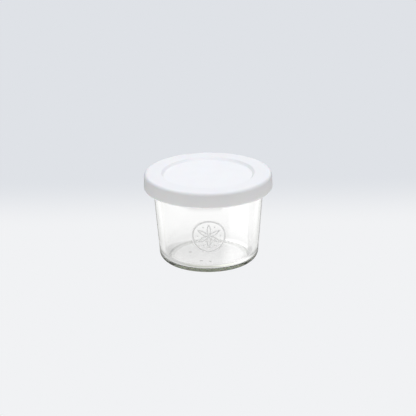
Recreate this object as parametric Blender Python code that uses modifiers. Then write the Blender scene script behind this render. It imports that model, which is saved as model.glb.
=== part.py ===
"""A small clear glass storage jar with its white push-on cover.

Both pieces are turned about the Z axis. The jar stands on the plane z = 0, its moulded roundel
faces -Y, and the cover sits over its rim. Lengths are in metres.
"""

import math

import bpy

MM = 0.001
SEGMENTS = 72  # flat sides round each turned piece
SHARP_ANGLE = math.radians(40)  # edges that turn more than this are shaded sharp

# The cover: an opaque disc with a sunken middle, and a skirt that hides the jar's flange
COVER_RADIUS = 35.0 * MM  # at the foot of the skirt
COVER_DRAFT = 0.26 * MM  # how much narrower the skirt is at its top
COVER_HEIGHT = 8.5 * MM
COVER_FOOT_Z = 40.5 * MM  # height of the skirt's foot above the table
COVER_PANEL = 1.2 * MM  # thickness of the disc
COVER_SKIRT = 1.2 * MM  # thickness of the skirt
COVER_TOP_ROUND = 1.8 * MM
COVER_FOOT_ROUND = 1.1 * MM
RECESS_RADIUS = 25.3 * MM
RECESS_DEPTH = 1.25 * MM
RECESS_SLOPE = 1.3 * MM  # how far the recess wall leans inwards on its way down
PLUG_WALL = 0.9 * MM  # thickness of the wall round the recess
GRIP_BEAD = 0.7 * MM  # how far the bead inside the skirt reaches under the flange

# The jar's outer wall: a straight taper from the heel up to the neck
BASE_RADIUS = 26.7 * MM  # the tapered wall carried on down to the table
TAPER = 0.08  # growth in radius for each unit of height
HEEL_ROUND = 5.0 * MM

# The jar's rim, which carries the cover, and the flange that the cover's bead grips
RIM_CLEARANCE = 0.3 * MM  # between the rim and the underside of the cover
RIM_Z = COVER_FOOT_Z + COVER_HEIGHT - COVER_PANEL - RIM_CLEARANCE
MOUTH_RADIUS = 27.1 * MM
FLANGE_RADIUS = 33.05 * MM
FLANGE_FOOT_Z = 42.0 * MM
NECK_Z = 41.2 * MM

# The jar's inside and its base
WALL = 2.9 * MM
FLOOR_EDGE_Z = 2.5 * MM
FLOOR_CROWN = 0.4 * MM  # how much higher the floor is at its middle
INNER_HEEL_ROUND = 4.0 * MM
RING_INNER_RADIUS = 20.0 * MM  # the jar bears on the flat ring outside this radius
PUSH_UP = 0.5 * MM  # how far the middle of the base is domed up inside that ring
PUSH_UP_STEPS = 4

# The roundel on the front wall: a raised ring of round section
ROUNDEL_RADIUS = 8.7 * MM
ROUNDEL_BEAD = 0.6 * MM
ROUNDEL_PROUD = 0.4 * MM
ROUNDEL_Z = 22.6 * MM


def wall_radius(height):
    """Radius of the jar's tapered outer wall at a height above the table."""
    return BASE_RADIUS + TAPER * height


def rounded(corners, degrees_per_step):
    """A profile through corners (radius, height, rounding), each rounded corner drawn as an arc.

    The arc touches both sides of its corner. Its centre lies on the line that halves the corner,
    rounding / sin(half the corner's angle) away from it.
    """
    points = []
    for i, (x, z, rounding) in enumerate(corners):
        if rounding == 0:
            points.append((x, z))
            continue
        before, after = corners[i - 1], corners[i + 1]
        back = math.atan2(before[1] - z, before[0] - x)
        ahead = math.atan2(after[1] - z, after[0] - x)
        opening = math.remainder(ahead - back, math.tau)
        middle = back + opening / 2
        reach = rounding / math.sin(abs(opening) / 2)
        centre_x = x + reach * math.cos(middle)
        centre_z = z + reach * math.sin(middle)
        turn = math.copysign(math.pi - abs(opening), -opening)
        steps = max(1, round(math.degrees(abs(turn)) / degrees_per_step))
        for step in range(steps + 1):
            angle = middle + math.pi - turn / 2 + turn * step / steps
            points.append(
                (centre_x + rounding * math.cos(angle), centre_z + rounding * math.sin(angle))
            )
    return points


def push_up():
    """The base's shallow dome, from the bearing ring to the axis: a parabola that is highest there."""
    shares = [1 - step / PUSH_UP_STEPS for step in range(1, PUSH_UP_STEPS + 1)]
    return [(RING_INNER_RADIUS * share, PUSH_UP * (1 - share**2), 0) for share in shares]


def jar_profile():
    """From the middle of the floor up the inside, over the rim, down the outside and under the base."""
    level_wall = WALL * math.sqrt(1 + TAPER**2)  # the wall's thickness measured level
    inner_heel = wall_radius(FLOOR_EDGE_Z) - level_wall
    shoulder_z = (MOUTH_RADIUS + level_wall - BASE_RADIUS) / TAPER
    return rounded(
        [
            (0, FLOOR_EDGE_Z + FLOOR_CROWN, 0),
            (inner_heel, FLOOR_EDGE_Z, INNER_HEEL_ROUND),
            (MOUTH_RADIUS, shoulder_z, 0),
            (MOUTH_RADIUS, RIM_Z, 1.2 * MM),
            (FLANGE_RADIUS, RIM_Z, 0.8 * MM),
            (FLANGE_RADIUS, FLANGE_FOOT_Z, 0.6 * MM),
            (wall_radius(NECK_Z), NECK_Z, 0.8 * MM),
            (BASE_RADIUS, 0, HEEL_ROUND),
            (RING_INNER_RADIUS, 0, 0),
            *push_up(),
        ],
        degrees_per_step=15,
    )


def cover_profile():
    """From the middle of the top out over the edge, down the skirt and back along the underside.

    Heights are measured from the foot of the skirt.
    """
    top_radius = COVER_RADIUS - COVER_DRAFT
    inside = top_radius - COVER_SKIRT
    recess_z = COVER_HEIGHT - RECESS_DEPTH
    under_z = COVER_HEIGHT - COVER_PANEL
    recess_foot = RECESS_RADIUS - RECESS_SLOPE
    return rounded(
        [
            (0, recess_z, 0),
            (recess_foot, recess_z, 0.5 * MM),
            (RECESS_RADIUS, COVER_HEIGHT, 0.5 * MM),
            (top_radius, COVER_HEIGHT, COVER_TOP_ROUND),
            (COVER_RADIUS, 0, COVER_FOOT_ROUND),
            (inside + 0.2 * MM, 0, 0),
            (inside - GRIP_BEAD, 0.85 * MM, 0.3 * MM),
            (inside, 1.6 * MM, 0),
            (inside, under_z, 0.5 * MM),
            (RECESS_RADIUS + PLUG_WALL, under_z, 0),
            (recess_foot + PLUG_WALL, recess_z - COVER_PANEL, 0.5 * MM),
            (0, recess_z - COVER_PANEL, 0),
        ],
        degrees_per_step=24,
    )


def clear_scene():
    for found in list(bpy.data.objects):
        bpy.data.objects.remove(found, do_unlink=True)


def collection_named(name):
    made = bpy.data.collections.new(name)
    bpy.context.scene.collection.children.link(made)
    return made


def material_named(name, colour, roughness, transmission=0.0, ior=1.45):
    made = bpy.data.materials.new(name)
    made.use_nodes = True
    shader = made.node_tree.nodes["Principled BSDF"]
    shader.inputs["Base Color"].default_value = (*colour, 1)
    shader.inputs["Roughness"].default_value = roughness
    shader.inputs["Metallic"].default_value = 0
    shader.inputs["Transmission Weight"].default_value = transmission
    shader.inputs["IOR"].default_value = ior
    return made


def turned(name, profile, collection):
    """An object whose profile, in the XZ plane, is turned once about its own Z axis."""
    mesh = bpy.data.meshes.new(name)
    points = [(x, 0, z) for x, z in profile]
    mesh.from_pydata(points, [(i, i + 1) for i in range(len(points) - 1)], [])
    made = bpy.data.objects.new(name, mesh)
    collection.objects.link(made)
    screw = made.modifiers.new("Turn", "SCREW")
    screw.steps = screw.render_steps = SEGMENTS
    screw.use_merge_vertices = True
    screw.merge_threshold = 0.001 * MM
    return made


def settle(piece):
    """Applies the piece's modifiers and shades it smooth, apart from its sharp edges."""
    graph = bpy.context.evaluated_depsgraph_get()
    shape = bpy.data.meshes.new_from_object(piece.evaluated_get(graph))
    piece.modifiers.clear()
    piece.data = shape
    shape.name = piece.name
    shape.shade_smooth()
    shape.set_sharp_from_angle(angle=SHARP_ANGLE)


def roundel_ring(collection):
    """A torus laid on the wall: its x runs round the jar, its y up the wall and its z straight out."""
    bpy.ops.mesh.primitive_torus_add(
        major_segments=40,
        minor_segments=8,
        major_radius=ROUNDEL_RADIUS,
        minor_radius=ROUNDEL_BEAD,
    )
    ring = bpy.context.object
    ring.name = "roundel_ring"
    sunk = ROUNDEL_BEAD - ROUNDEL_PROUD
    for vertex in ring.data.vertices:
        across, up, out = vertex.co
        height = ROUNDEL_Z + up
        angle = across / wall_radius(ROUNDEL_Z)
        radius = wall_radius(height) + out - sunk
        vertex.co = (radius * math.sin(angle), -radius * math.cos(angle), height)
    for owner in ring.users_collection:
        owner.objects.unlink(ring)
    collection.objects.link(ring)
    ring.hide_render = True
    ring.display_type = "WIRE"
    return ring


def glass_jar(parts, helpers):
    jar = turned("glass_jar", jar_profile(), parts)
    jar.data.materials.append(
        material_named("clear_glass", (0.93, 0.96, 0.94), 0.02, transmission=1.0, ior=1.52)
    )
    join = jar.modifiers.new("Roundel", "BOOLEAN")
    join.operation = "UNION"
    join.object = roundel_ring(helpers)
    settle(jar)
    return jar


def plastic_cover(parts):
    cover = turned("plastic_cover", cover_profile(), parts)
    cover.data.materials.append(material_named("white_plastic", (0.87, 0.88, 0.9), 0.45))
    cover.location.z = COVER_FOOT_Z
    settle(cover)
    return cover


def main():
    clear_scene()
    parts = collection_named("storage_jar")
    helpers = collection_named("cutters")
    stand = bpy.data.objects.new("storage_jar", None)
    parts.objects.link(stand)
    for piece in (glass_jar(parts, helpers), plastic_cover(parts)):
        piece.parent = stand


main()
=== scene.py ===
# %% [markdown]
# # A small glass jar with a push-on cover
#
# The object is a storage jar of pressed clear glass, about 7 cm across and 5 cm tall, shut by a white
# polyethylene cover that pushes over its rim. A packed model fixes how large the two pieces are and
# where they sit, as plain faceted solids. This lesson draws each piece again as a fine surface, gives it
# its finish, and lights and frames it as a catalogue photograph does.
#
# Both pieces are turned shapes, so nearly everything comes from two half sections, one for the glass
# and one for the cover. Lengths are in metres, and the front of the jar faces -Y.

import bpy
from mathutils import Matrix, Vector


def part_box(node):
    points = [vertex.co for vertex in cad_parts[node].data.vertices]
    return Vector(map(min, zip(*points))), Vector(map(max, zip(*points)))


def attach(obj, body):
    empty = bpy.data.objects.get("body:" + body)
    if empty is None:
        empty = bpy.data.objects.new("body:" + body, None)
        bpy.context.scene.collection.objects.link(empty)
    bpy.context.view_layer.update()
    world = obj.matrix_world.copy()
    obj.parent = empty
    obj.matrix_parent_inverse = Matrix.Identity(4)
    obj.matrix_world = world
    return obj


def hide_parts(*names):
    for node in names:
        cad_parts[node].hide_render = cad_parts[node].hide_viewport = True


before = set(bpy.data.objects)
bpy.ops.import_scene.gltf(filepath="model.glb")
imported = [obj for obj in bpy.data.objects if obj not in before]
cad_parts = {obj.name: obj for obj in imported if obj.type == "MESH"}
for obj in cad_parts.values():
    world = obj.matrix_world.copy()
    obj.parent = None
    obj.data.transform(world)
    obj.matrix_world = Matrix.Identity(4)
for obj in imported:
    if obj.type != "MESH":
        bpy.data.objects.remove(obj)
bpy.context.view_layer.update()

# %% Bring in what the lesson uses
import math

import bpy
import numpy as np
from mathutils import Matrix, Vector

MM = 0.001


# %% [markdown]
# ## The sizes that the two pieces share
#
# The outline is the packed model's: its boxes give the height of the rim, the width of the flange under
# it and the cover's foot, top and width. Reading them here, rather than typing them again, keeps the
# fine surfaces inside the boxes of the solids that they stand for. The rest lies within that outline and
# is named below in millimetres. The names that end in ROUND are the radii of rounded corners.

# %% Sizes of the jar
jar_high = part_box("glass_jar")[1]
RIM_Z = jar_high.z
FLANGE_RADIUS = jar_high.x
FLANGE_FOOT_Z = RIM_Z - 5.5 * MM
NECK_Z = RIM_Z - 6.3 * MM
MOUTH_RADIUS = 27.1 * MM
MOUTH_ROUND = 1.2 * MM  # between the mouth and the rim
RIM_ROUND = 0.8 * MM  # between the rim and the flange
FLANGE_FOOT_ROUND = 0.6 * MM
NECK_ROUND = 0.8 * MM

BASE_RADIUS = 26.7 * MM  # the tapered outer wall carried on down to the table
TAPER = 0.08  # growth of its radius for each unit of height
WALL = 2.9 * MM
HEEL_ROUND = 4.9 * MM
INNER_HEEL_ROUND = 4.0 * MM
SHOULDER_ROUND = 6.0 * MM  # where the tapered inside meets the upright mouth
FLOOR_EDGE_Z = 2.5 * MM
FLOOR_CROWN = 0.4 * MM
RING_INNER_RADIUS = 20.0 * MM  # the jar stands on the flat ring outside this radius
PUSH_UP = 0.5 * MM  # how far the base is domed up inside the ring


def wall_radius(height):
    """The outer wall is a straight taper: its radius at the table, plus TAPER times the height."""
    return BASE_RADIUS + TAPER * height


print("rim at", round(RIM_Z / MM, 2), "mm, flange radius", round(FLANGE_RADIUS / MM, 2), "mm")

# %% Sizes of the cover
cover_low, cover_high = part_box("plastic_cover")
COVER_FOOT_Z = cover_low.z
COVER_TOP_Z = cover_high.z
COVER_RADIUS = cover_high.x
COVER_DRAFT = 0.26 * MM  # the skirt is this much narrower at its top
COVER_PANEL = 1.2 * MM
COVER_SKIRT = 1.2 * MM
COVER_TOP_ROUND = 1.8 * MM
COVER_FOOT_ROUND = 1.1 * MM
RECESS_RADIUS = 25.3 * MM
RECESS_DEPTH = 1.25 * MM
RECESS_SLOPE = 1.3 * MM  # how far the recess wall leans inwards on its way down
RECESS_ROUND = 0.5 * MM  # on both faces of the panel, and at the top of the skirt's inside
PLUG_WALL = 0.9 * MM
PLUG_TOP_ROUND = 0.3 * MM

LEAD_IN = 0.2 * MM  # the skirt is this much wider inside at its foot
LEAD_IN_ROUND = 0.15 * MM
GRIP_BEAD = 0.7 * MM  # how far the bead inside the skirt stands inwards
GRIP_BEAD_ROUND = 0.3 * MM
GRIP_BEAD_UP = 0.85 * MM  # from the foot to the bead's tip
BEAD_END_UP = 1.6 * MM  # from the foot to where the bead ends
BEAD_END_ROUND = 0.2 * MM

GATE_RADIUS = 0.7 * MM  # the stub left where the plastic ran into the mould
GATE_PROUD = 0.12 * MM
GATE_SLOPE = 0.15 * MM
GATE_ROUND = 0.06 * MM

cover_height = COVER_TOP_Z - COVER_FOOT_Z
print("cover", round(cover_height / MM, 2), "mm tall, its foot at", round(COVER_FOOT_Z / MM, 2), "mm")
print("gap between rim and cover:", round((COVER_TOP_Z - COVER_PANEL - RIM_Z) / MM, 2), "mm")

# %% [markdown]
# ## Half sections of straight runs and arcs
#
# Neither pressed glass nor moulded plastic has a sharp corner. A half section is therefore a list of
# corners, each with its rounding, the way a workshop drawing gives it. A Bevel modifier on a drawn curve
# could round them too, but the formula below sets each arc exactly where it touches both of its sides,
# and the corners stay readable sizes.


# %% Round the corners of a section
def rounded(corners, degrees_per_step=5):
    """Points along a section, from corners given as (radius, height, rounding).

    An arc's centre lies on the line that halves the corner, rounding / sin(half the corner's angle)
    away from it. The arc turns by 180 degrees less the corner's angle, from one side to the other.
    """
    runs = []
    for before, corner, after in zip(corners[-1:] + corners[:-1], corners, corners[1:] + corners[:1]):
        x, z, rounding = corner
        if rounding == 0:
            runs.append(np.array([[x, z]]))
            continue
        back = math.atan2(before[1] - z, before[0] - x)
        ahead = math.atan2(after[1] - z, after[0] - x)
        opening = math.remainder(ahead - back, math.tau)
        middle = back + opening / 2
        reach = rounding / math.sin(abs(opening) / 2)
        centre = np.array([x + reach * math.cos(middle), z + reach * math.sin(middle)])
        turn = math.copysign(math.pi - abs(opening), -opening)
        steps = max(2, round(math.degrees(abs(turn)) / degrees_per_step))
        angles = middle + math.pi + turn * np.linspace(-0.5, 0.5, steps + 1)
        runs.append(centre + rounding * np.stack([np.cos(angles), np.sin(angles)], axis=-1))
    return np.concatenate(runs)


corner_test = rounded([(0, 0, 0), (1, 0, 0.2), (1, 1, 0)])
print("a square corner rounded by 0.2 becomes", len(corner_test) - 2, "points")

# %% [markdown]
# ## The glass, part 1: its half section
#
# The jar was pressed in a mould, so its wall is thick and its outside is a straight cone that leaves the
# mould easily. It stands on a narrow flat ring, and the base is pushed up a little inside it, so that
# the jar can't rock. The rim is thickened into a flange, which the cover grips. The section runs from
# the middle of the floor up the inside, over the rim, down the outside and under the base, because a
# line that goes once round the glass gives a closed surface with no join to hide. It is made in five
# runs, and each run names what it is part of, because the moulded ornament belongs on the outside alone.

# %% Sizes that set how finely the glass is divided
ROUNDEL_Z = 22.6 * MM
ROUNDEL_RADIUS = 8.7 * MM
ROUNDEL_HALF_WIDTH = 0.48 * MM
ROUNDEL_PROUD = 0.38 * MM
FINE_STEP = 0.155 * MM  # between rows, and between columns, where the ornament is
PIP_OUT = 10.9 * MM  # from the axis to each of the pips under the base
PIP_RADIUS = 0.8 * MM
PIP_PROUD = 0.25 * MM
PIP_STEP = 0.2 * MM

# Points along each stretch that needs no fine steps, with both of its ends
FLOOR_POINTS = 9
INNER_WALL_POINTS = 9
ABOVE_ROUNDEL_POINTS = 8
BELOW_ROUNDEL_POINTS = 7
OUTSIDE_PIPS_POINTS = 10
INSIDE_PIPS_POINTS = 13

print("the ornament takes about", round(2 * ROUNDEL_RADIUS / FINE_STEP), "rows and as many columns")


# %% The inside of the jar
def shallow_dome(radius, edge, rise):
    """Height of a dome over its own edge: rise times 1 less the square of the share of the way out."""
    return rise * (1 - (radius / edge) ** 2)


def inside_run():
    """From the middle of the floor, round the inner heel, up the wall and to the top of the mouth."""
    level_wall = WALL * math.sqrt(1 + TAPER**2)  # the wall's thickness measured level
    inner_heel = wall_radius(FLOOR_EDGE_Z) - level_wall
    shoulder_z = (MOUTH_RADIUS + level_wall - BASE_RADIUS) / TAPER
    corners = [
        (0, FLOOR_EDGE_Z, 0),
        (inner_heel, FLOOR_EDGE_Z, INNER_HEEL_ROUND),
        (MOUTH_RADIUS, shoulder_z, SHOULDER_ROUND),
        (MOUTH_RADIUS, RIM_Z, MOUTH_ROUND),
        (FLANGE_RADIUS, RIM_Z, 0),
    ]
    curve = rounded(corners)[1:-1]
    across = np.linspace(0, curve[0, 0], FLOOR_POINTS)[:-1]
    rise = shallow_dome(across, curve[0, 0], FLOOR_CROWN)
    floor = np.stack([across, FLOOR_EDGE_Z + rise], axis=-1)
    wall_top = np.argmax(np.diff(curve[:, 1])) + 1  # the longest straight stretch is the wall
    shares = np.linspace(0, 1, INNER_WALL_POINTS)[1:-1, None]
    wall = curve[wall_top - 1] * (1 - shares) + curve[wall_top] * shares
    return np.concatenate([floor, curve[:wall_top], wall, curve[wall_top:]])


inside = inside_run()
print("the floor is", round((inside[0, 1] - PUSH_UP) / MM, 2), "mm thick in its middle")


# %% The rim and the heel
def rim_run():
    """Over the flange and under it, down to where the tapered wall starts."""
    corners = [
        (MOUTH_RADIUS, RIM_Z, 0),
        (FLANGE_RADIUS, RIM_Z, RIM_ROUND),
        (FLANGE_RADIUS, FLANGE_FOOT_Z, FLANGE_FOOT_ROUND),
        (wall_radius(NECK_Z), NECK_Z, NECK_ROUND),
        (wall_radius(ROUNDEL_Z), ROUNDEL_Z, 0),
    ]
    return rounded(corners, degrees_per_step=9)[1:-1]


def heel_run():
    """From the foot of the tapered wall round the heel to the inner edge of the ring it stands on."""
    corners = [
        (wall_radius(ROUNDEL_Z), ROUNDEL_Z, 0),
        (BASE_RADIUS, 0, HEEL_ROUND),
        (RING_INNER_RADIUS, 0, 0),
    ]
    return rounded(corners, degrees_per_step=3)[1:]


rim, heel = rim_run(), heel_run()
print("the tapered wall runs from", round(heel[0, 1] / MM, 1), "to", round(rim[-1, 1] / MM, 1), "mm up")


# %% The wall and the base
def wall_run(top, foot):
    """Straight down the taper, in fine steps across the ornament and in coarse ones elsewhere."""
    reach = ROUNDEL_RADIUS + ROUNDEL_HALF_WIDTH + FINE_STEP
    fine = np.arange(ROUNDEL_Z + reach, ROUNDEL_Z - reach, -FINE_STEP)
    above = np.linspace(top, fine[0], ABOVE_ROUNDEL_POINTS)[1:-1]
    below = np.linspace(fine[-1], foot, BELOW_ROUNDEL_POINTS)[1:-1]
    heights = np.concatenate([above, fine, below])
    return np.stack([wall_radius(heights), heights], axis=-1)


def base_run():
    """Under the base, from the ring to the axis, in fine steps across the circle of pips."""
    fine = np.arange(PIP_OUT + PIP_RADIUS, PIP_OUT - PIP_RADIUS, -PIP_STEP)
    outside = np.linspace(RING_INNER_RADIUS, fine[0], OUTSIDE_PIPS_POINTS)[1:-1]
    middle = np.linspace(fine[-1], 0, INSIDE_PIPS_POINTS)[1:]
    across = np.concatenate([outside, fine, middle])
    return np.stack([across, shallow_dome(across, RING_INNER_RADIUS, PUSH_UP)], axis=-1)


JAR_RUNS = {
    "inside": inside,
    "rim": rim,
    "wall": wall_run(rim[-1, 1], heel[0, 1]),
    "heel": heel,
    "base": base_run(),
}
for run, points in JAR_RUNS.items():
    nearest, furthest = points[:, 0].min() / MM, points[:, 0].max() / MM
    print(f"{run:7} {len(points):4} points, radius {nearest:5.2f} to {furthest:5.2f} mm")

# %% [markdown]
# ## The glass, part 2: the moulded ornament
#
# Jars like this carry a raised mark on the front, cut into the mould as a groove and pressed into the
# glass as a rounded bead. Here it is a plain roundel: a ring round a six-petalled rosette, the figure
# that a pair of compasses draws by itself, with a pearl between each two petals. It could be a bump in
# the material, but glass bends light by its true slopes, and a bump leaves the outline flat, so the
# beads are lifted out of the wall itself. Each bead is a height that depends only on the distance to its
# middle line, and where two meet, the higher one wins.

# %% Heights of the raised marks
PETAL_RADIUS = 6.5 * MM  # of the rosette and of each of the arcs that draw it
PETAL_HALF_WIDTH = 0.42 * MM
PETAL_PROUD = 0.3 * MM
PEARL_OUT = 6.1 * MM  # from the middle of the roundel to a pearl
PEARL_RADIUS = 0.5 * MM
SIXTHS = np.arange(6) * math.tau / 6


def bead(distance, half_width, proud):
    """A rounded bead: proud on its middle line, and down to nothing at half_width as a cosine wave."""
    share = np.clip(np.abs(distance) / half_width, 0, 1)
    return proud * (1 + np.cos(math.pi * share)) / 2


def roundel(across, up):
    """Height of the roundel at points of the wall, measured across and up from its middle.

    The ring is a bead along one circle. Each petal edge is a bead along an arc of the same radius as
    the rosette, whose centre is one of six points on the rosette's rim. The pearls are round beads.
    """
    reach = np.hypot(across, up)
    ring = bead(reach - ROUNDEL_RADIUS, ROUNDEL_HALF_WIDTH, ROUNDEL_PROUD)
    side, level = across[..., None], up[..., None]
    arc_side, arc_level = PETAL_RADIUS * np.sin(SIXTHS), PETAL_RADIUS * np.cos(SIXTHS)
    from_arcs = np.hypot(side - arc_side, level - arc_level)
    nearest_arc = np.abs(from_arcs - PETAL_RADIUS).min(axis=-1)
    past_tip = np.clip(reach - PETAL_RADIUS, 0, None)
    petals = bead(np.hypot(nearest_arc, past_tip), PETAL_HALF_WIDTH, PETAL_PROUD)
    between = SIXTHS + math.tau / 12
    from_pearls = np.hypot(side - PEARL_OUT * np.sin(between), level - PEARL_OUT * np.cos(between))
    pearls = bead(from_pearls.min(axis=-1), PEARL_RADIUS, PETAL_PROUD)
    return np.maximum.reduce([ring, petals, pearls])


sample = roundel(np.array([0, ROUNDEL_RADIUS]), np.zeros(2)) / MM
print("the roundel stands", sample.round(2), "mm proud at its middle and on its ring")

# %% [markdown]
# ## The glass, part 3: seams, ripple and pips
#
# Two faint upright seams show where the halves of the mould met, on the left and the right. The inside
# was shaped by a plunger and then cooled freely, so it waves by a hundredth of a millimetre or two, and
# that is what makes the light in real glass streaky. Both are added to the radius, like the ornament.
# The base carries three small pips on one circle, as moulds leave, and they are added to its height.

# %% Heights of the seams, the ripple and the base's pips
SEAM_HALF_WIDTH = 0.22 * MM
SEAM_PROUD = 0.02 * MM
RIPPLE = 0.008 * MM
# Each wave's strength, how many times it goes round, how far it slants up the wall, and its start
RIPPLE_WAVES = ((1, 3, 5, 0), (0.7, 7, -9, 0), (0.4, 11, 0, 2))
PIP_TURNS = np.radians([-107, -23, 3])


def seams(angle):
    """A narrow bead down each side, by the distance round the wall from the nearer of the two seams."""
    from_seam = (np.abs(angle) - math.pi / 2) * BASE_RADIUS
    return bead(from_seam, SEAM_HALF_WIDTH, SEAM_PROUD)


def ripple(angle, height):
    """Slow waves round and up the inside: a sum of sines, fading out at the floor and at the rim."""
    lift = height / RIM_Z
    waves = 0
    for strength, around, slant, start in RIPPLE_WAVES:
        waves = waves + strength * np.sin(around * angle + slant * lift + start)
    return RIPPLE * waves * np.sin(math.pi * np.clip(lift, 0, 1)) ** 2


def pips(x, y):
    """Three round pips on a circle round the middle of the base."""
    pip_x, pip_y = PIP_OUT * np.sin(PIP_TURNS), -PIP_OUT * np.cos(PIP_TURNS)
    away = np.hypot(x[..., None] - pip_x, y[..., None] - pip_y)
    return bead(away.min(axis=-1), PIP_RADIUS, PIP_PROUD)


most = sum(wave[0] for wave in RIPPLE_WAVES) * RIPPLE
print("the inside waves by at most", round(most / MM, 3), "mm")

# %% [markdown]
# ## Turning a section into a surface
#
# A lathe turns one section through many angles, and so does a grid: its rows are the section's points
# and its columns the angles, and a point's place is radius times the sine and cosine of its angle. The
# Screw modifier does the same for an even turn, but a grid can be uneven: the jar's columns stand close
# together on the front, where the ornament is, and beside the seams.


# %% Put a turned grid into a mesh
def turned_piece(name, radius, height, angle):
    """An object whose surface has one row for each section point and one column for each angle.

    A point lies at (radius sin angle, -radius cos angle, height), so angle 0 is the front. The first
    and last rows lie on the axis and become one pole each, joined to the next row by a fan of
    triangles. Between two other rows, each quad joins a column to the next, and the last to the first.
    """
    x, y = radius * np.sin(angle), -radius * np.cos(angle)
    places = np.stack(np.broadcast_arrays(x, y, height), axis=-1)
    rows, columns = places.shape[0] - 2, places.shape[1]
    points = np.concatenate([places[1:-1].reshape(-1, 3), places[:1, 0], places[-1:, 0]])
    here = np.arange(rows * columns).reshape(rows, columns)
    beside = np.roll(here, -1, axis=1)
    quads = np.stack([here[:-1], here[1:], beside[1:], beside[:-1]], axis=-1).reshape(-1, 4)
    first_fan = np.stack([np.full(columns, rows * columns), here[0], beside[0]], axis=-1)
    last_fan = np.stack([np.full(columns, rows * columns + 1), beside[-1], here[-1]], axis=-1)
    fans = np.concatenate([first_fan, last_fan])
    corners = np.concatenate([quads.ravel(), fans.ravel()])
    sides = np.concatenate([np.full(len(quads), 4), np.full(len(fans), 3)])

    mesh = bpy.data.meshes.new(name)
    mesh.vertices.add(len(points))
    mesh.vertices.foreach_set("co", points.ravel().astype(np.float32))
    mesh.loops.add(len(corners))
    mesh.loops.foreach_set("vertex_index", corners.astype(np.int32))
    mesh.polygons.add(len(sides))
    mesh.polygons.foreach_set("loop_start", (np.cumsum(sides) - sides).astype(np.int32))
    mesh.update(calc_edges=True)
    mesh.validate()
    mesh.shade_smooth()
    piece = bpy.data.objects.new(name, mesh)
    bpy.context.scene.collection.objects.link(piece)

    triangles = np.concatenate([quads[:, [0, 1, 2]], quads[:, [0, 2, 3]], fans])
    a, b, c = (points[triangles[:, corner]] for corner in range(3))
    volume = np.einsum("ij,ij->i", a, np.cross(b, c)).sum() / 6
    print(f"{name}: {len(triangles)} triangles, {volume / MM**3:.0f} mm3")
    print("its faces point outwards:", bool(volume > 0))
    return piece


# %% Turn the jar
FRONT_HALF_TURN = (ROUNDEL_RADIUS + ROUNDEL_HALF_WIDTH + FINE_STEP) / wall_radius(ROUNDEL_Z)
COARSE_COLUMNS = 220


def jar_angles():
    """Fine columns across the ornament, coarser ones elsewhere, and a few more beside each seam."""
    fine_turn = FINE_STEP / wall_radius(ROUNDEL_Z)
    fine = np.arange(-FRONT_HALF_TURN, FRONT_HALF_TURN, fine_turn)
    coarse_end = math.tau - FRONT_HALF_TURN
    coarse = np.linspace(FRONT_HALF_TURN, coarse_end, COARSE_COLUMNS, endpoint=False)
    beside_seam = SEAM_HALF_WIDTH / BASE_RADIUS * np.arange(-3, 4) / 4
    seam_columns = np.concatenate([math.pi / 2 + beside_seam, math.pi * 1.5 + beside_seam])
    angles = np.unique(np.concatenate([fine, coarse, seam_columns]))
    return (angles + math.pi) % math.tau - math.pi


def jar_surface():
    """The jar's section turned, with its relief added to the radius, or to the height under the base."""
    angle = jar_angles()[None, :]
    section = np.concatenate(list(JAR_RUNS.values()))
    run_of_row = np.repeat(list(JAR_RUNS), [len(points) for points in JAR_RUNS.values()])[:, None]
    radius = section[:, :1] + 0 * angle
    height = section[:, 1:] + 0 * angle
    outside = roundel(angle * wall_radius(ROUNDEL_Z), height - ROUNDEL_Z) + seams(angle)
    radius = radius + np.where(run_of_row == "wall", outside, 0)
    radius = radius + np.where(run_of_row == "inside", ripple(angle, height), 0) * (radius > 0)
    on_base = pips(radius * np.sin(angle), -radius * np.cos(angle))
    height = height - np.where(run_of_row == "base", on_base, 0)
    return turned_piece("jar_of_pressed_glass", radius, height, angle)


jar = jar_surface()

# %% [markdown]
# ## The cover
#
# The cover is one piece of polyethylene. A shallow recess in its top drops inside the jar's mouth as a
# plug, and its skirt reaches down over the flange, where a small bead inside it grips. The outer edge is
# rounded more than the foot. Turning a disc and cutting the recess would need a Boolean and would leave
# its edges to bevel, so the whole wall is drawn as one section again: out over the top, down the skirt,
# round the bead and back along the underside.

# %% Turn the cover
COVER_COLUMNS = 512


def cover_section():
    """From the middle of the top out over the edge, down the skirt and back along the underside."""
    top_radius = COVER_RADIUS - COVER_DRAFT
    inside = top_radius - COVER_SKIRT
    recess_z = COVER_TOP_Z - RECESS_DEPTH
    under_z = COVER_TOP_Z - COVER_PANEL
    recess_foot = RECESS_RADIUS - RECESS_SLOPE
    corners = [
        (0, recess_z + GATE_PROUD, 0),
        (GATE_RADIUS, recess_z + GATE_PROUD, GATE_ROUND),
        (GATE_RADIUS + GATE_SLOPE, recess_z, GATE_ROUND),
        (recess_foot, recess_z, RECESS_ROUND),
        (RECESS_RADIUS, COVER_TOP_Z, RECESS_ROUND),
        (top_radius, COVER_TOP_Z, COVER_TOP_ROUND),
        (COVER_RADIUS, COVER_FOOT_Z, COVER_FOOT_ROUND),
        (inside + LEAD_IN, COVER_FOOT_Z, LEAD_IN_ROUND),
        (inside - GRIP_BEAD, COVER_FOOT_Z + GRIP_BEAD_UP, GRIP_BEAD_ROUND),
        (inside, COVER_FOOT_Z + BEAD_END_UP, BEAD_END_ROUND),
        (inside, under_z, RECESS_ROUND),
        (RECESS_RADIUS + PLUG_WALL, under_z, PLUG_TOP_ROUND),
        (recess_foot + PLUG_WALL, recess_z - COVER_PANEL, RECESS_ROUND),
        (0, recess_z - COVER_PANEL, 0),
    ]
    return rounded(corners, degrees_per_step=7)


section = cover_section()
around = np.linspace(-math.pi, math.pi, COVER_COLUMNS, endpoint=False)
cover = turned_piece("push_on_cover", section[:, :1], section[:, 1:], around[None, :])

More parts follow.
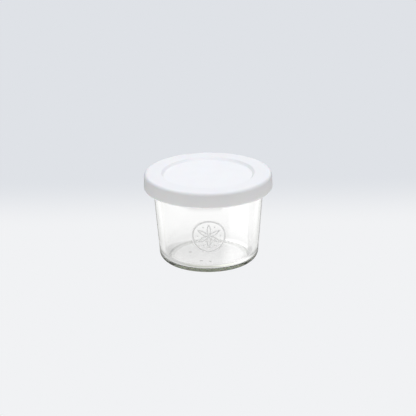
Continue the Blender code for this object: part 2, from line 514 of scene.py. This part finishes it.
# %% [markdown]
# ## Shader maths as Python expressions
#
# A pattern such as `1 - mask * 0.3` takes three Math nodes and three links when it is made by hand. The
# small class below wraps one output of a node, so that Python's own operators add those nodes.
# Everything else that a finish needs, such as a noise or a mix of colours, comes from its one method
# `node`.

# %% A value in a shader
BLACK = (0, 0, 0)
WHITE = (1, 1, 1)


class Wire:
    """One output in a node tree. Operators on it add Math nodes, and numbers alone stay in Python."""

    def __init__(self, tree, socket=None):
        self.tree = tree
        self.socket = socket

    def node(self, kind, settings=(), sockets=(), output=0):
        """The chosen output of a new node, whose settings are set before its sockets are fed."""
        made = self.tree.nodes.new(kind)
        for name, value in dict(settings).items():
            setattr(made, name, value)
        for name, value in dict(sockets).items():
            self.feed(made.inputs[name], value)
        return Wire(self.tree, made.outputs[output])

    def feed(self, socket, value):
        """Links a wire to a socket, or sets the socket to a plain number or colour."""
        if isinstance(value, Wire):
            self.tree.links.new(value.socket, socket)
        else:
            socket.default_value = value

    def out(self, name):
        """Another output of the same node."""
        return Wire(self.tree, self.socket.node.outputs[name])

    def maths(self, operation, *values):
        """The output of one Math node."""
        return self.node("ShaderNodeMath", {"operation": operation}, enumerate(values))

    def __add__(self, other):
        return self.maths("ADD", self, other)

    def __sub__(self, other):
        return self.maths("SUBTRACT", self, other)

    def __rsub__(self, other):
        return self.maths("SUBTRACT", other, self)

    def __mul__(self, other):
        return self.maths("MULTIPLY", self, other)

    def __truediv__(self, other):
        return self.maths("DIVIDE", self, other)

    def __abs__(self):
        return self.maths("ABSOLUTE", self)

    __radd__ = __add__
    __rmul__ = __mul__

    def root(self):
        return self.maths("SQRT", self)

    def rise(self, low, high):
        """0 below low, 1 above high, and a smooth S between them."""
        sockets = {"Value": self, "From Min": low, "From Max": high}
        return self.node("ShaderNodeMapRange", {"interpolation_type": "SMOOTHSTEP"}, sockets)

    def between(self, low, high):
        """A mix of two colours, with this value as the share of the second."""
        sockets = {"Factor": self, "A": (*low, 1), "B": (*high, 1)}
        return self.node("ShaderNodeMix", {"data_type": "RGBA"}, sockets, output="Result")

    def choose(self, shader, other):
        """The other shader where this value is 1, and the first where it is 0."""
        return self.node("ShaderNodeMixShader", sockets={0: self, 1: shader, 2: other})


operators = [name for name, made in vars(Wire).items() if name.startswith("__") and callable(made)]
print("operators:", operators[1:])


# %% Where a point of the surface is
def coordinates(start, axes):
    """The place of a point as a vector in metres, and its named coordinates in millimetres."""
    place = start.node("ShaderNodeTexCoord", output="Object")
    parts = start.node("ShaderNodeSeparateXYZ", sockets={"Vector": place})
    return place, *(parts.out(axis) * (1 / MM) for axis in axes)


def from_axis(x, y):
    """Distance from the upright axis: the square root of x squared plus y squared."""
    return (x * x + y * y).root()


print("a metre is", round(1 / MM), "of the units in which the finishes are laid out")

# %% [markdown]
# ## Finish: clear pressed glass
#
# Soda-lime glass bends light by an index of 1.51, and iron in the sand tints it green, which shows only
# where light runs a long way through it, as in the heel. A tinted surface would colour a thin wall as
# much as a thick one, so the colour is in the volume. Its skin has the faint orange peel of pressed
# glass, and the ring that it stands on is scuffed dull by tables. The grooves of the mould were cut and
# never polished, so the relief is satin. The relief is also given a little grey as painted shade, which
# makes its strokes read as thin dark lines.
# The relief is found without a painted mask: it is wherever the surface stands proud of the plain cone,
# by the distance from the axis less the cone's radius at that height.

# %% The glass
GLASS_INDEX = 1.51
TINT = {"Color": (0.62, 0.9, 0.02, 1), "Density": 2.8}  # the colour is what the glass lets through
# Painted shade: the relief's glass is greyed so that its strokes read as dark lines
RELIEF_SHADE_GREY = (0.78, 0.78, 0.78)
RELIEF_ROUGHNESS = 0.85
SCUFFED_ROUGHNESS = 0.25
PEEL = {"Scale": 350, "Detail": 1}
SCUFFS = {"Scale": 2500, "Detail": 2}
PEEL_HEIGHT = 0.3  # as a share of the scuffs' height
GLASS_BUMP = {"Strength": 0.5, "Distance": 0.01 * MM}
# In millimetres, where each part of the finish starts to change and where it has changed
ABOVE_TABLE = (0.02, 0.15)
PROUD_OF_CONE = (0.01, 0.05)
UP_TO_NECK = (34, 36)


def clear_glass():
    """Clear glass: a green volume, a satin relief greyed as painted shade, a scuffed ring to stand on."""
    material = bpy.data.materials.new("clear_pressed_glass")
    material.use_nodes = True
    start = Wire(material.node_tree)
    shader = material.node_tree.nodes["Principled BSDF"]
    shader.inputs["IOR"].default_value = GLASS_INDEX
    shader.inputs["Transmission Weight"].default_value = 1

    place, x, y, z = coordinates(start, "XYZ")
    standing = 1 - z.rise(*ABOVE_TABLE)
    proud = from_axis(x, y) - (BASE_RADIUS / MM + z * TAPER)
    on_relief = proud.rise(*PROUD_OF_CONE) * (1 - z.rise(*UP_TO_NECK))
    roughness = standing * SCUFFED_ROUGHNESS + on_relief * RELIEF_ROUGHNESS
    start.feed(shader.inputs["Roughness"], roughness)
    # painted shade: the relief is greyed
    start.feed(shader.inputs["Base Color"], on_relief.between(WHITE, RELIEF_SHADE_GREY))
    peel = start.node("ShaderNodeTexNoise", sockets={"Vector": place, **PEEL})
    scuffs = start.node("ShaderNodeTexNoise", sockets={"Vector": place, **SCUFFS})
    height = peel * PEEL_HEIGHT + scuffs * standing
    bump = start.node("ShaderNodeBump", sockets={**GLASS_BUMP, "Height": height})
    start.feed(shader.inputs["Normal"], bump)
    tint = start.node("ShaderNodeVolumeAbsorption", sockets=TINT)
    start.feed(material.node_tree.nodes["Material Output"].inputs["Volume"], tint)
    return material


jar.data.materials.append(clear_glass())
print("glass nodes:", len(jar.active_material.node_tree.nodes))

# %% [markdown]
# ## Finish: white polyethylene
#
# Moulded polyethylene is a satin white: pigment makes it opaque, and it is soft enough for light to sink
# in a little before it comes back. Its skin is not even. It is finely grained where it touched the mould,
# and cloudy in gloss where it cooled unevenly. Its recess is made a little lighter, as painted light from
# the bright jar below it.

# %% The plastic
PLASTIC = {"IOR": 1.51, "Subsurface Weight": 0.1, "Subsurface Scale": 0.5 * MM}
WHITENESS = 0.86
# Painted light: the recess is made a little lighter than the rest of the top
RECESS_PAINTED_LIGHT = 0.02
WHITER_IN_CLOUDS = 0.012
RECESS_EDGE = (23, 25)  # in millimetres from the axis
CLOUD_EDGE = (0.3, 0.7)
LEAST_ROUGH = 0.38
ROUGHER_IN_CLOUDS = 0.14
CLOUDS = {"Scale": 120, "Detail": 3}
GRAIN = {"Scale": 3000, "Detail": 2}
GRAIN_HEIGHT, CLOUD_HEIGHT = 0.7, 0.3
PLASTIC_BUMP = {"Strength": 0.25, "Distance": 0.02 * MM}


def satin_polyethylene():
    """White plastic with a fine grain, clouds in its gloss, and painted light that lightens the recess.
    """
    material = bpy.data.materials.new("white_polyethylene")
    material.use_nodes = True
    start = Wire(material.node_tree)
    shader = material.node_tree.nodes["Principled BSDF"]
    for name, value in PLASTIC.items():
        shader.inputs[name].default_value = value

    place, x, y = coordinates(start, "XY")
    clouds = start.node("ShaderNodeTexNoise", sockets={"Vector": place, **CLOUDS})
    grain = start.node("ShaderNodeTexNoise", sockets={"Vector": place, **GRAIN})
    # painted light: where the recess is, the colour is made lighter
    recess_light_mask = 1 - from_axis(x, y).rise(*RECESS_EDGE)
    albedo = WHITENESS + recess_light_mask * RECESS_PAINTED_LIGHT + clouds.rise(*CLOUD_EDGE) * WHITER_IN_CLOUDS
    start.feed(shader.inputs["Base Color"], albedo.between(BLACK, WHITE))
    start.feed(shader.inputs["Roughness"], LEAST_ROUGH + clouds * ROUGHER_IN_CLOUDS)
    height = grain * GRAIN_HEIGHT + clouds * CLOUD_HEIGHT
    bump = start.node("ShaderNodeBump", sockets={**PLASTIC_BUMP, "Height": height})
    start.feed(shader.inputs["Normal"], bump)
    return material


cover.data.materials.append(satin_polyethylene())
print("plastic nodes:", len(cover.active_material.node_tree.nodes))

# %% [markdown]
# ## Joining the pieces to the packed model
#
# Each surface stands for one packed solid, which is hidden but still carries the weight and the
# contacts. The cover only rests on the jar, so both ride on the same body.

# %% Ride and replace
for piece, node, slot in ((jar, "glass_jar", "clear_glass"), (cover, "plastic_cover", "white_plastic")):
    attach(piece, "root")
    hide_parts(node)
    print(piece.name, "stands for", node)

# %% [markdown]
# ## The table
#
# Clear glass shows nothing of its own: all that is seen in it is the room, bent. A studio lights it in a
# bright field: what the wall shows is bright, and only its edges, which bend light from far away, draw
# themselves as darker lines. Lamps and real screens could do it, but a render would then spend its time
# searching for them through the glass. So the table glows by itself, and how much depends on how a ray
# came to it: straight from the camera, through the glass, by a reflection, or as the light that falls on
# the cover. It is a plain disc that fades into the backdrop.

# %% Tones of the table
NEAR_TONE = (241, 242, 244)  # the table beside the jar, as 8-bit screen colours
FAR_TONE = (223, 226, 231)  # the table's far end and the backdrop


def linear(tone):
    """Light for a screen colour: the share of white, straightened by the screen's own curve."""
    share = np.array(tone) / 255
    light = np.where(share <= 0.04045, share / 12.92, ((share + 0.055) / 1.055) ** 2.4)
    return tuple(light.tolist())


print("table", np.round(linear(NEAR_TONE), 3), "backdrop", np.round(linear(FAR_TONE), 3))

# %% [markdown]
# ## The table through the glass
#
# What a part of the glass shows depends on where on the table its bent rays land, so the brightness of
# the table is a map. Distances on it are millimetres from the jar's axis, x to the right and y to the
# back, and each pair of them below is where a smooth step starts and where it ends. The map could be
# painted, but sums and products of a few steps say what each part is for. The open table is lit round
# the jar, and more so at its sides. Near the jar come small changes, and a ring of shade lies round the
# foot, with two gaps where light comes in.

# %% The open table
FAR_LIGHT = 0.74
LIT = 0.28  # added round the jar
LIT_SIDES = 0.14  # added again at both sides
SIDES_START = (38, 70)
SIDES_END = (75, 125)
# The lit part ends to the back in two steps, each with its share of the loss. The first step lies this
# much further back on the left and on the right, past the edges given
FIRST_END, FIRST_SHARE = (70.5, 80), 0.65
SECOND_END, SECOND_SHARE = (95, 135), 0.35
LEFT_EDGE, LEFT_FURTHER = (10, 30), 14
RIGHT_EDGE, RIGHT_FURTHER = (8, 15), 20


def open_table(x, y):
    """The light of the far table, plus what is lit round the jar, with more of that at its sides."""
    near_end = y - (0 - x).rise(*LEFT_EDGE) * LEFT_FURTHER - x.rise(*RIGHT_EDGE) * RIGHT_FURTHER
    to_back = 1 - near_end.rise(*FIRST_END) * FIRST_SHARE - y.rise(*SECOND_END) * SECOND_SHARE
    lit = (1 - abs(x).rise(*SIDES_END)) * to_back
    return FAR_LIGHT + lit * (LIT + abs(x).rise(*SIDES_START) * LIT_SIDES)


print("the open table glows by", FAR_LIGHT, "to", round(FAR_LIGHT + LIT + LIT_SIDES, 2))

# %% Directions from the jar
# Each sector's middle, in degrees from the back towards the right, and the cosines of the angle from it
# where the sector starts and where it is full
SECTORS = {
    "back": (0, 0.1, 0.6),
    "gap at the back right": (42, 0.86, 0.95),
    "gap at the front right": (140, 0.76, 0.94),
    "front": (180, 0.5, 0.9),
    "before the heel": (180, 0.6, 0.95),
    "green": (180, 0.7, 0.97),
}


def sector(name, x, y):
    """1 in one direction from the jar, and a smooth step down to 0 with the angle from it.

    The angle's cosine is the distance along the direction over the distance from the axis.
    """
    turn, edge, full = SECTORS[name]
    turn = math.radians(turn)
    along = x * math.sin(turn) + y * math.cos(turn)
    return (along / from_axis(x, y)).rise(edge, full)


for name, (turn, edge, full) in SECTORS.items():
    print(f"{name:22} to {math.degrees(math.acos(edge)):3.0f} degrees on each side of {turn}")

# %% The ring of shade round the foot
RING_STARTS = (20.2, 22.8)
RING_ENDS = (22.8, 26)
RING_WIDER = 1.35  # its outer edge is an oval, wider than it is deep by this factor
SHADE = 0.34
LESS_AT_BACK = 0.14
MORE_AT_FRONT = 0.04
FRONT_GAP = 0.9  # how open the gap at the front right is


def shade_ring(x, y):
    """1 in the ring: a step up at its round inner edge times a step down at its oval outer edge."""
    return from_axis(x, y).rise(*RING_STARTS) * (1 - from_axis(x / RING_WIDER, y).rise(*RING_ENDS))


def foot_shade(x, y):
    """Share of light that the ring takes: less at the back, more at the front, and little in the gaps."""
    share = SHADE - sector("back", x, y) * LESS_AT_BACK + sector("front", x, y) * MORE_AT_FRONT
    share = share * (1 - sector("gap at the back right", x, y))
    share = share * (1 - sector("gap at the front right", x, y) * FRONT_GAP)
    return shade_ring(x, y) * share


print("the ring of shade runs from", RING_STARTS[0], "to", RING_ENDS[1], "mm off the axis")

# %% Changes close to the jar
PAST_FOOT = (24, 30)
AWAY_FROM_FOOT = (30, 60)
DIM_PAST_FOOT = 0.09
UNDER_FLOOR = (9, 18)
DIM_FLOOR = 0.08
HEEL_STARTS = (15, 20.5)
HEEL_ENDS = (21.5, 24)
DIM_HEEL = 0.15
RIGHT_STARTS = (5.6, 10)  # across a line that slants by SLANT to the right for each unit to the back
SLANT = 0.05
BRIGHT_RIGHT = 0.15
LEFT_TO_RIGHT = (-25, 12)
DIM_LEFT = 0.02


def close_changes(x, y):
    """One factor for the changes near the jar.

    The table is dimmer just past the foot, under the front of the floor and under the front of the
    heel, a little dimmer on the left, and inside the jar it is brighter on the right.
    """
    reach = from_axis(x, y)
    leftwards = (1 - DIM_LEFT) + x.rise(*LEFT_TO_RIGHT) * DIM_LEFT
    past_foot = reach.rise(*PAST_FOOT) * (1 - reach.rise(*AWAY_FROM_FOOT))
    under_heel = reach.rise(*HEEL_STARTS) * (1 - reach.rise(*HEEL_ENDS))
    at_front = reach.rise(*UNDER_FLOOR) * DIM_FLOOR + under_heel * DIM_HEEL
    at_front = sector("before the heel", x, y) * at_front
    on_right = (x - y * SLANT).rise(*RIGHT_STARTS) * (1 - reach.rise(*PAST_FOOT))
    dimmed = leftwards * (1 - past_foot * DIM_PAST_FOOT) * (1 - at_front)
    return dimmed * (1 + on_right * BRIGHT_RIGHT)


print("the table under the glass changes by", DIM_LEFT, "to", BRIGHT_RIGHT, "of its light")

# %% The whole map, with its colour
PLAIN_LIGHT = (1, 0.997, 1.01)
GREEN_LIGHT = (0.98, 1, 0.9)  # what has run through the heel


def seen_through_glass(x, y):
    """Brightness of the table as the glass shows it, and its colour: green in the shade at the front."""
    strength = open_table(x, y) * close_changes(x, y) * (1 - foot_shade(x, y))
    green = shade_ring(x, y) * sector("green", x, y)
    return strength, green.between(PLAIN_LIGHT, GREEN_LIGHT)


print("the shade at the front keeps", GREEN_LIGHT[2], "of its blue light")

# %% [markdown]
# ## The table in reflections
#
# Glass also reflects a few hundredths of what lies around it. The table is dark there at the jar's foot
# and brightest in a ring past it. One soft white card lies on it in front of the jar, on the right, and
# draws the pale patch with a straight left edge low on the wall. A real card would show in the picture
# too, and this one is seen by reflected rays alone.

# %% The table in reflections
FOOT_LIGHT = 0.08
BRIGHT_RING, RING_LIGHT = (28.5, 33), 0.57
RING_FADES, RING_LOSS = (38, 46), 0.32
CARD_LIGHT = 1.8
CARD_TURN = math.radians(46)  # of its slanting left side
CARD_LEFT = (-16, -6)
CARD_BACK = (-14, -11)
CARD_NEAR = (36, 44)
CARD_FAR = (88, 110)


def seen_in_reflections(x, y):
    """Brightness of the table in reflections: its foot, a ring past it, and the card.

    The card is a product of steps at its slanting left side, its straight back, and its round near
    and far ends.
    """
    reach = from_axis(x, y)
    along = x * math.cos(CARD_TURN) + y * math.sin(CARD_TURN)
    card = along.rise(*CARD_LEFT) * (1 - y.rise(*CARD_BACK))
    card = card * (1 - reach.rise(*CARD_FAR)) * reach.rise(*CARD_NEAR)
    ring = reach.rise(*BRIGHT_RING) * RING_LIGHT - reach.rise(*RING_FADES) * RING_LOSS
    return FOOT_LIGHT + ring + card * CARD_LIGHT


ring_light = round(FOOT_LIGHT + RING_LIGHT, 2)
print("in reflections, the ring glows by", ring_light, "and the card adds", CARD_LIGHT)

# %% [markdown]
# ## The table's material and its disc
#
# A Light Path node tells how a ray came, and each kind of ray gets its own glow. The camera sees the
# pale table turn to the backdrop's tone, both straight behind the jar and far out on every side. The
# light that reaches the cover ends not far from the jar, so that the skirt stays in soft shade.

# %% The table's material
BEHIND_JAR = (45, 135)  # in millimetres to the back, where the camera sees the tone change
FAR_OUT = (400, 1200)  # in millimetres from the axis, where it changes on every side
COVER_LIGHT = 1.55
COVER_LIGHT_ENDS = (80, 200)


def table_material():
    """Four glows, chosen by the kind of ray: from the camera, through glass, reflected, or spread."""
    material = bpy.data.materials.new("table_top")
    material.use_nodes = True
    material.node_tree.nodes.remove(material.node_tree.nodes["Principled BSDF"])
    start = Wire(material.node_tree)
    x, y = coordinates(start, "XY")[1:]
    reach = from_axis(x, y)

    def glow(**sockets):
        return start.node("ShaderNodeEmission", sockets=sockets)

    far = 1 - (1 - y.rise(*BEHIND_JAR)) * (1 - reach.rise(*FAR_OUT))
    to_camera = glow(Color=far.between(linear(NEAR_TONE), linear(FAR_TONE)))
    on_cover = glow(Strength=(1 - reach.rise(*COVER_LIGHT_ENDS)) * COVER_LIGHT)
    in_mirror = glow(Strength=seen_in_reflections(x, y))
    strength, colour = seen_through_glass(x, y)
    in_glass = glow(Strength=strength, Color=colour)
    ray = start.node("ShaderNodeLightPath")
    surface = ray.out("Is Glossy Ray").choose(on_cover, in_mirror)
    surface = ray.out("Is Transmission Ray").choose(surface, in_glass)
    surface = ray.out("Is Camera Ray").choose(surface, to_camera)
    start.feed(material.node_tree.nodes["Material Output"].inputs["Surface"], surface)
    return material


table_top = table_material()
print("table nodes:", len(table_top.node_tree.nodes))

# %% The table's disc
TABLE_RADIUS = 4.0
TABLE_SIDES = 96
TABLE_SINK = 0.2 * MM  # below the jar, so that the two surfaces don't coincide


def table_disc():
    """One flat face of many sides: a corner is the radius times the cosine and sine of its angle."""
    angle = np.linspace(0, math.tau, TABLE_SIDES, endpoint=False)
    depth = np.full(TABLE_SIDES, -TABLE_SINK)
    rim = np.stack([np.cos(angle) * TABLE_RADIUS, np.sin(angle) * TABLE_RADIUS, depth], axis=-1)
    mesh = bpy.data.meshes.new("table")
    mesh.from_pydata(rim.tolist(), [], [tuple(range(TABLE_SIDES))])
    mesh.materials.append(table_top)
    made = bpy.data.objects.new("table", mesh)
    bpy.context.scene.collection.objects.link(made)
    return made


table = table_disc()
print("table", TABLE_RADIUS, "m in radius")

# %% [markdown]
# ## The light above
#
# The cover is lit by a soft box overhead, by weaker ones round it, and by the pale room. Area lamps
# would show as hard shapes in the glass, so the light is the world itself, a smooth sum of broad lobes.
# A lobe is brightest in one direction and fades to nothing with the angle from it. The glass sees a
# plainer sky: dim near the horizon, bright overhead.

# %% Lobes of light
# Each lobe's turn from the front towards the right and its height, in degrees, the cosine of the angle
# from its middle where it starts, and its strength
LOBES = {
    "overhead": (0, 90, 0.8, 2.6),
    "front left": (-45, 45, 0.6, 0.5),
    "front right": (45, 45, 0.6, 0.2),
    "right": (90, 45, 0.6, 0.44),
    "back": (180, 25, 0.8, 0.71),
}
ROOM = 0.21


def lobe(start, direction, turn, lift, edge):
    """1 in a lobe's own direction, and a smooth step down to 0 with the angle's cosine."""
    turn, lift = math.radians(turn), math.radians(lift)
    middle = (math.cos(lift) * math.sin(turn), -math.cos(lift) * math.cos(turn), math.sin(lift))
    settings, sockets = {"operation": "DOT_PRODUCT"}, {0: direction, 1: middle}
    return start.node("ShaderNodeVectorMath", settings, sockets, output="Value").rise(edge, 1)


for name, (turn, lift, edge, strength) in LOBES.items():
    print(f"{name:11} reaches {math.degrees(math.acos(edge)):2.0f} degrees from its middle")

# %% Light the scene
# Steps are in the height of a direction, which is 0 at the horizon and 1 straight up
HIGH_UP = (0.6, 0.95)
LOW_COLOUR = (1.006, 0.997, 0.99)
HIGH_COLOUR = (0.965, 0.993, 1.07)
SKY_BRIGHTENS = (0.45, 0.75)
SKY_LOW, SKY_RISE = 0.28, 0.67
SKY_COLOUR = (0.8, 0.8, 0.8)


def studio_light():
    """A world of three skies: the lobes for things, a plain sky for the glass, and a flat backdrop."""
    world = bpy.data.worlds.new("studio")
    bpy.context.scene.world = world
    world.use_nodes = True
    world.node_tree.nodes.clear()
    start = Wire(world.node_tree)
    direction = start.node("ShaderNodeTexCoord", output="Generated")
    up = start.node("ShaderNodeSeparateXYZ", sockets={"Vector": direction}, output="Z")
    up = up.maths("MAXIMUM", up, 0.0)

    def sky(colour, strength=1.0):
        return start.node("ShaderNodeBackground", sockets={"Color": colour, "Strength": strength})

    total = ROOM
    for turn, lift, edge, strength in LOBES.values():
        total = total + lobe(start, direction, turn, lift, edge) * strength
    on_things = sky(up.rise(*HIGH_UP).between(LOW_COLOUR, HIGH_COLOUR), total)
    in_glass = sky((*SKY_COLOUR, 1), SKY_LOW + up.rise(*SKY_BRIGHTENS) * SKY_RISE)
    backdrop = sky((*linear(FAR_TONE), 1))
    ray = start.node("ShaderNodeLightPath")
    light = ray.out("Is Transmission Ray").choose(on_things, in_glass)
    light = ray.out("Is Camera Ray").choose(light, backdrop)
    output = world.node_tree.nodes.new("ShaderNodeOutputWorld")
    start.feed(output.inputs["Surface"], light)
    return world


world = studio_light()
print("world nodes:", len(world.node_tree.nodes))

# %% [markdown]
# ## Letting light through the glass
#
# A ray that looks through the jar crosses four faces of glass, and in the heel it is thrown back inside
# many times before it comes out. Blender gives up after twelve bounces unless it is told otherwise, and
# the heel would lose light that way. The Standard view transform shows each tone as it was mixed, where
# the usual one would turn the bright field grey.

# %% Bounces and tones
GLASS_BOUNCES = 24
MIRROR_BOUNCES = 16

view = bpy.context.scene.view_settings
view.view_transform = "Standard"
cycles = bpy.context.scene.cycles
cycles.max_bounces = GLASS_BOUNCES
cycles.transmission_bounces = GLASS_BOUNCES
cycles.glossy_bounces = MIRROR_BOUNCES
cycles.transparent_max_bounces = MIRROR_BOUNCES
cycles.caustics_reflective = True
cycles.caustics_refractive = True
print("light may pass", cycles.transmission_bounces, "glass surfaces")

# %% [markdown]
# ## The camera
#
# The photograph was taken with a long lens from about a metre away, looking down by twenty degrees, and
# the horizon is tipped by a fraction of a degree. The jar's own edges fixed those values: how open its
# ellipses are gives the tilt, and how much narrower the base looks than the cover gives the distance.

# %% Place the camera
FRAME_PIXELS = 416
PIXELS_PER_UNIT_ANGLE = 1832.4  # how many pixels a slope of 1 covers, so 1.83 for a millimetre at 1 m
LOOK_AT = Vector((-0.278 * MM, 0, 28.268 * MM))
DISTANCE = 1.0
LOOK_DOWN = math.radians(20.25)
TIP = -0.0127  # radians
SENSOR_WIDTH = 36  # millimetres, which is how Blender gives a lens
NEAREST, FURTHEST = 0.01, 50  # metres, between which the camera sees


def photo_camera():
    """A camera on a sphere round LOOK_AT, facing it, and turned about its own line of sight by TIP."""
    lens = bpy.data.cameras.new("camera")
    lens.sensor_fit = "HORIZONTAL"
    lens.sensor_width = SENSOR_WIDTH
    lens.lens = SENSOR_WIDTH * PIXELS_PER_UNIT_ANGLE / FRAME_PIXELS
    lens.clip_start = NEAREST
    lens.clip_end = FURTHEST
    camera = bpy.data.objects.new("camera", lens)
    bpy.context.scene.collection.objects.link(camera)
    offset = DISTANCE * Vector((0, -math.cos(LOOK_DOWN), math.sin(LOOK_DOWN)))
    facing = (-offset).to_track_quat("-Z", "Y").to_matrix().to_4x4()
    camera.matrix_world = Matrix.Translation(LOOK_AT + offset) @ facing @ Matrix.Rotation(TIP, 4, "Z")
    return camera


camera = photo_camera()
bpy.context.scene.camera = camera
print("lens", round(camera.data.lens, 1), "mm")

# %% [markdown]
# ## The fine surfaces and the packed boxes
#
# The fine surfaces have to stay inside the packed model's box.
